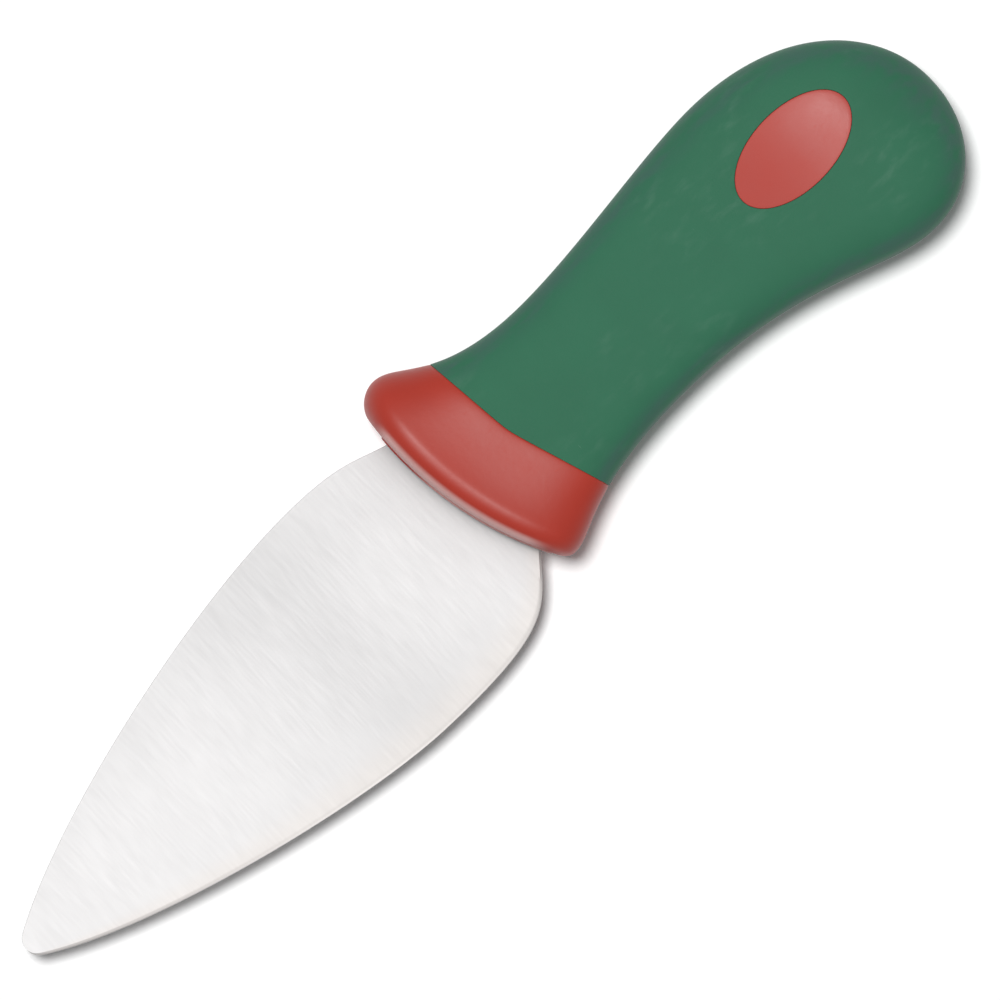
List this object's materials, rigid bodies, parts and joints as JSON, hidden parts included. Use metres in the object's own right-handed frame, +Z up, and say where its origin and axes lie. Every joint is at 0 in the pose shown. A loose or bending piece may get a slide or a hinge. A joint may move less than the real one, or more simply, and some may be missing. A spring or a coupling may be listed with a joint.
{
  "type": "cheese knife",
  "caption": "Leaf-bladed cheese knife: broad stainless blade in a red flared bolster, on a soft green waisted handle with red oval inlays.",
  "frame": {"origin": "middle of the underside of the knife's bounding box, on the surface that it lies on", "axes": "+X along the handle's axis to the tip of the blade, +Y to the cutting edge, +Z up from the surface"},
  "size_m": [0.2196, 0.0532, 0.0249],
  "materials": {
    "blade_steel": "satin, ground across its length",
    "core_plastic": "moulded",
    "bolster_plastic": "smooth gloss",
    "grip_rubber": "matt soft elastomer",
    "badge_plastic": "smooth gloss"
  },
  "bodies": {
    "root": {"blade": "blade_steel", "core": "core_plastic", "bolster": "bolster_plastic", "grip": "grip_rubber", "badge_front": "badge_plastic", "badge_back": "badge_plastic"}
  },
  "joints": []
}
